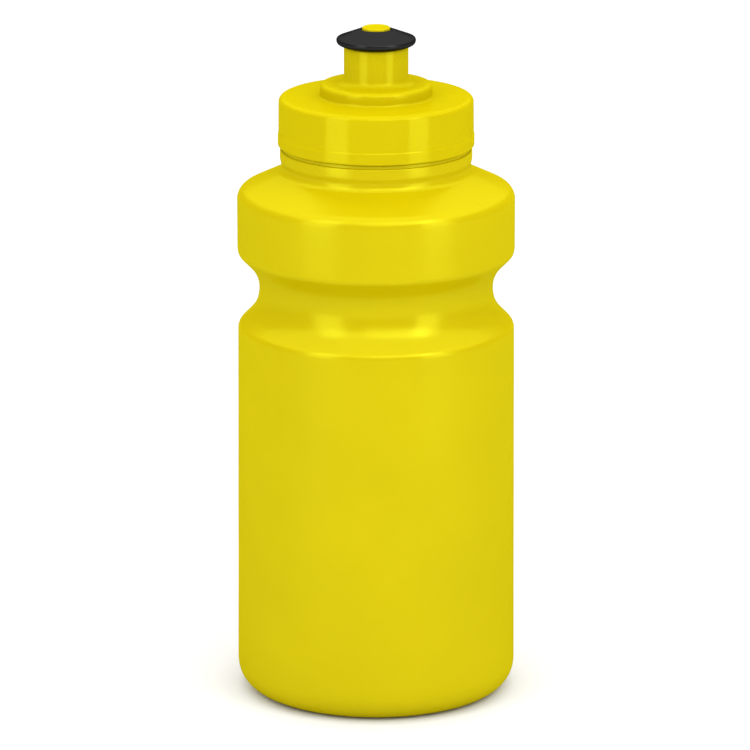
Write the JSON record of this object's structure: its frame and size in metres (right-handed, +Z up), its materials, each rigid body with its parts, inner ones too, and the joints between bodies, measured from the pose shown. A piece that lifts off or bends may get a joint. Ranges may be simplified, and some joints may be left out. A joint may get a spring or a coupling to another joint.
{
  "type": "squeeze water bottle",
  "caption": "Plain squeeze sports bottle with a grip groove, screw lid, drinking tube and a push-pull nozzle over a fixed valve pin.",
  "frame": {"origin": "on the bottle's axis, at the surface it stands on", "axes": "+Z up along the bottle's axis, from the base to the nozzle; X and Y are alike, because the outside is round"},
  "size_m": [0.075, 0.075, 0.1822],
  "materials": {
    "body_yellow": "satin",
    "lid_yellow": "semi-gloss",
    "gasket_white": "matte",
    "nozzle_black": "satin"
  },
  "bodies": {
    "bottle": {"bottle_body": "body_yellow"},
    "gasket": {"lid_gasket": "gasket_white"},
    "lid": {"lid": "lid_yellow", "valve_pin": "lid_yellow"},
    "nozzle": {"nozzle": "nozzle_black"}
  },
  "joints": [
    {"name": "lid_lift", "type": "slide", "parent": "bottle", "child": "gasket", "axis": [0, 0, 1], "range_m": [0, 0.014]},
    {"name": "lid_turn", "type": "hinge", "parent": "gasket", "child": "lid", "pos_m": [0, 0, 0.15], "axis": [0, 0, 1], "range_deg": [0, 1260]},
    {"name": "nozzle_pull", "type": "slide", "parent": "lid", "child": "nozzle", "axis": [0, 0, 1], "range_m": [0, 0.006]}
  ],
  "couplings": [
    {"joint": "lid_lift", "follows": "lid_turn", "m_per_rad": 0.0006366}
  ]
}
